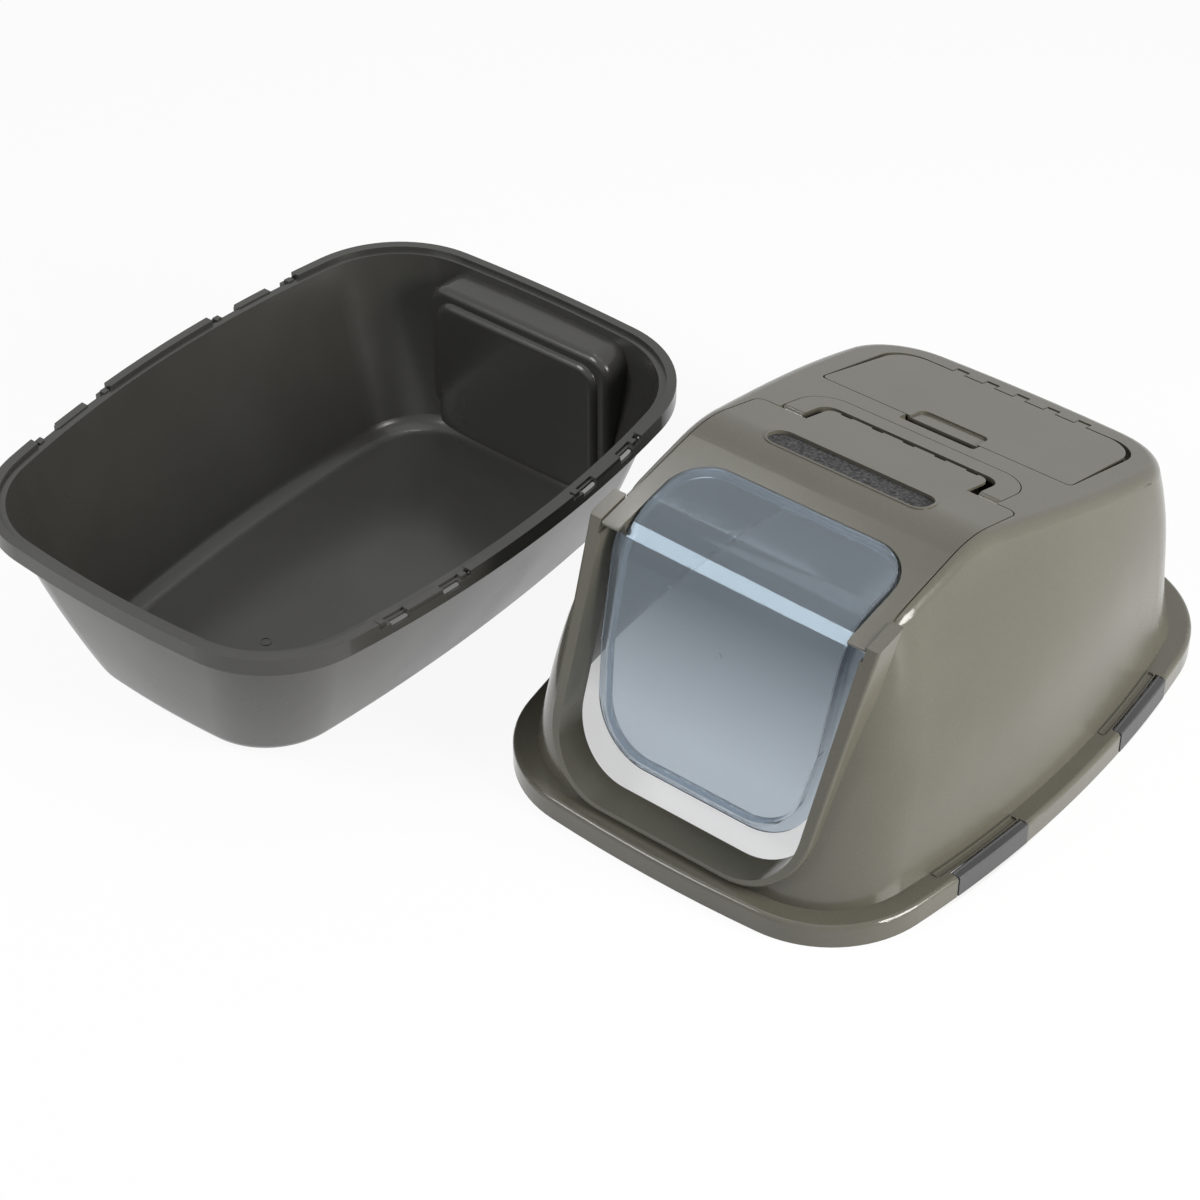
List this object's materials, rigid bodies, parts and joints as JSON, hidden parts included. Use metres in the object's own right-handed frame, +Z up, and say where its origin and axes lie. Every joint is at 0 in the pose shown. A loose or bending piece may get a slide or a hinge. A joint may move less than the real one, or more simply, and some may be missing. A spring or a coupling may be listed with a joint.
{
  "type": "covered litter box",
  "caption": "Covered cat litter box taken apart: deep open tray beside its hood with clear swing door, lift-up front visor, filter window, carry handle, storage lid and side clips.",
  "frame": {"origin": "middle of the tray's underside, on the plane that the tray and the hood both stand on", "axes": "+Z up, -Y towards the fronts of the tray and hood, +X from the tray to the hood beside it"},
  "size_m": [0.9844, 0.837, 0.2944],
  "materials": {
    "tray_plastic": "warm grey moulded plastic with a fine pearl gloss",
    "hood_plastic": "warm olive grey moulded plastic with a fine pearl gloss",
    "clip_plastic": "dark neutral grey, satin",
    "dark_plastic": "dark grey, satin",
    "pin_plastic": "grey, satin",
    "clear_plastic": "clear moulded plastic, glossy",
    "carbon_fibre_pad": "needled dark grey fibre"
  },
  "bodies": {
    "tray": {"tray": "tray_plastic"},
    "hood": {"hood_shell": "hood_plastic", "visor_hinge_pin": "pin_plastic", "lid_hinge_pin": "pin_plastic", "storage_bin": "dark_plastic"},
    "visor": {"visor": "hood_plastic", "filter_holder": "dark_plastic", "filter_pad": "carbon_fibre_pad"},
    "door": {"flap_door": "clear_plastic"},
    "handle": {"carry_handle": "hood_plastic"},
    "lid": {"storage_lid": "hood_plastic"},
    "clip_front_right": {"clip_front_right": "clip_plastic"},
    "clip_front_left": {"clip_front_left": "clip_plastic"},
    "clip_rear_right": {"clip_rear_right": "clip_plastic"},
    "clip_rear_left": {"clip_rear_left": "clip_plastic"}
  },
  "joints": [
    {"name": "hood_lift", "type": "slide", "parent": "tray", "child": "hood", "axis": [0, 0, 1], "range_m": [0, 0.24]},
    {"name": "visor_hinge", "type": "hinge", "parent": "hood", "child": "visor", "pos_m": [0.496, 0.234, 0.25704], "axis": [-1, 0, 0], "range_deg": [0, 100]},
    {"name": "door_swing", "type": "hinge", "parent": "visor", "child": "door", "pos_m": [0.496, -0.016, 0.26], "axis": [1, 0, 0], "range_deg": [-70, 70]},
    {"name": "handle_hinge", "type": "hinge", "parent": "hood", "child": "handle", "pos_m": [0.496, 0.214, 0.26515], "axis": [1, 0, 0], "range_deg": [0, 100]},
    {"name": "lid_hinge", "type": "hinge", "parent": "hood", "child": "lid", "pos_m": [0.496, 0.445, 0.20014], "axis": [-1, 0, 0], "range_deg": [0, 100]},
    {"name": "clip_front_right_swing", "type": "hinge", "parent": "hood", "child": "clip_front_right", "pos_m": [0.72604, 0.0575, 0.022], "axis": [-0.1048, -0.9945, 0], "range_deg": [0, 70]},
    {"name": "clip_front_left_swing", "type": "hinge", "parent": "hood", "child": "clip_front_left", "pos_m": [0.26596, 0.0575, 0.022], "axis": [-0.1048, 0.9945, 0], "range_deg": [0, 70]},
    {"name": "clip_rear_right_swing", "type": "hinge", "parent": "hood", "child": "clip_rear_right", "pos_m": [0.72826, 0.313, 0.022], "axis": [0.088, -0.9961, 0], "range_deg": [0, 70]},
    {"name": "clip_rear_left_swing", "type": "hinge", "parent": "hood", "child": "clip_rear_left", "pos_m": [0.26374, 0.313, 0.022], "axis": [0.088, 0.9961, 0], "range_deg": [0, 70]}
  ]
}
